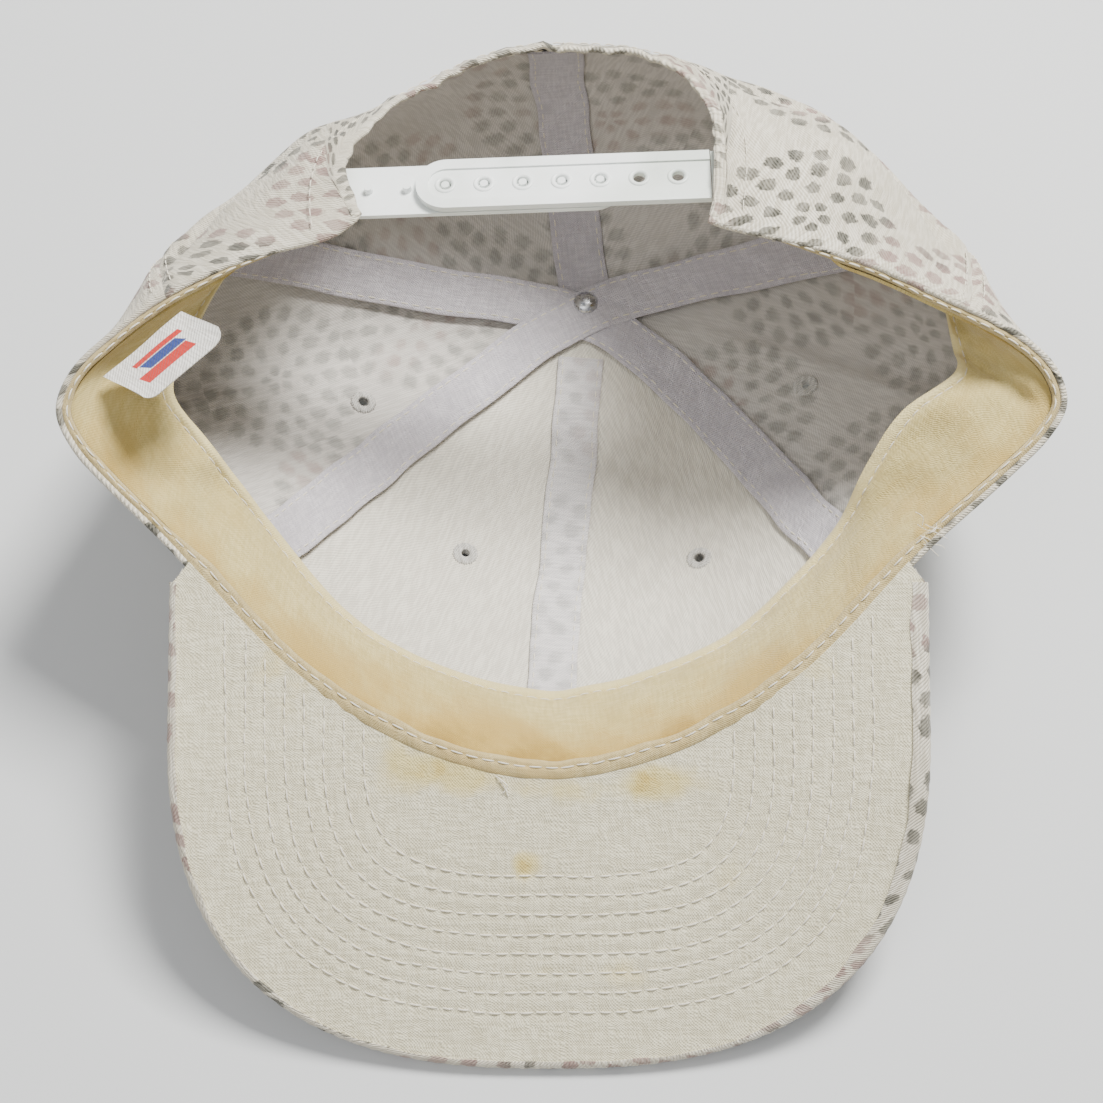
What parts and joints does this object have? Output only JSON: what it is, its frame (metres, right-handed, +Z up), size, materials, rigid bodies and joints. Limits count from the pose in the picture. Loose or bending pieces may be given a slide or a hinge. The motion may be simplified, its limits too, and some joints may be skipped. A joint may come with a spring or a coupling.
{
  "type": "snapback cap",
  "caption": "Six-panel fabric cap with a flat stitched visor, inner sweatband, rear arch opening and a moulded snap strap, resting upside down.",
  "frame": {"origin": "middle of the bounding box's floor, on the table the cap rests on", "axes": "+Z up out of the table, +Y from the visor's front edge towards the rear strap, +X to the side"},
  "size_m": [0.2476, 0.2649, 0.0938],
  "materials": {
    "outer_twill": "cotton twill with a printed dot pattern",
    "buckram": "stiff open-weave lining",
    "seam_tape": "soft brushed tape",
    "sweatband_cloth": "plain-weave cotton, worn and stained",
    "visor_board": "semi-rigid sheet",
    "visor_cloth": "plain-weave cotton with rows of stitching",
    "rivet_metal": "smooth, slightly worn",
    "eyelet_thread": "close machine stitching",
    "strap_plastic": "moulded, semi-gloss",
    "label_cloth": "woven satin label"
  },
  "bodies": {
    "cap": {"front_panel_left": "outer_twill", "front_panel_right": "outer_twill", "side_panel_left": "outer_twill", "side_panel_right": "outer_twill", "rear_panel_left": "outer_twill", "rear_panel_right": "outer_twill", "buckram_left": "buckram", "buckram_right": "buckram", "front_centre_tape": "seam_tape", "rear_centre_tape": "seam_tape", "cross_tape_upper": "seam_tape", "cross_tape_lower": "seam_tape", "sweatband": "sweatband_cloth", "sweatband_piping": "sweatband_cloth", "arch_binding": "outer_twill", "visor_board": "visor_board", "visor_top_cover": "outer_twill", "visor_under_cover": "visor_cloth", "visor_edge_wrap": "outer_twill", "top_button": "outer_twill", "button_rivet": "rivet_metal", "eyelet_front_left": "eyelet_thread", "eyelet_front_right": "eyelet_thread", "eyelet_side_left": "eyelet_thread", "eyelet_side_right": "eyelet_thread", "hole_strap_anchor": "strap_plastic", "peg_strap_anchor": "strap_plastic"},
    "hole_strap_body": {"hole_strap": "strap_plastic"},
    "peg_strap_body": {"peg_strap": "strap_plastic"},
    "label_body": {"size_label": "label_cloth"}
  },
  "joints": [
    {"name": "hole_strap_hinge", "type": "hinge", "parent": "cap", "child": "hole_strap_body", "pos_m": [0.03728, 0.06994, 0.09146], "axis": [-0.0115, 0.9971, -0.0747], "range_deg": [0, 80]},
    {"name": "peg_strap_hinge", "type": "hinge", "parent": "cap", "child": "peg_strap_body", "pos_m": [-0.05599, 0.06831, 0.08414], "axis": [-0.0115, 0.9971, -0.0747], "range_deg": [0, 45]},
    {"name": "label_hinge", "type": "hinge", "parent": "cap", "child": "label_body", "pos_m": [-0.10314, 0.02826, 0.07895], "axis": [-0.766, -0.5792, -0.2788], "range_deg": [0, 50], "stiffness_Nm_per_rad": 0.0004}
  ]
}
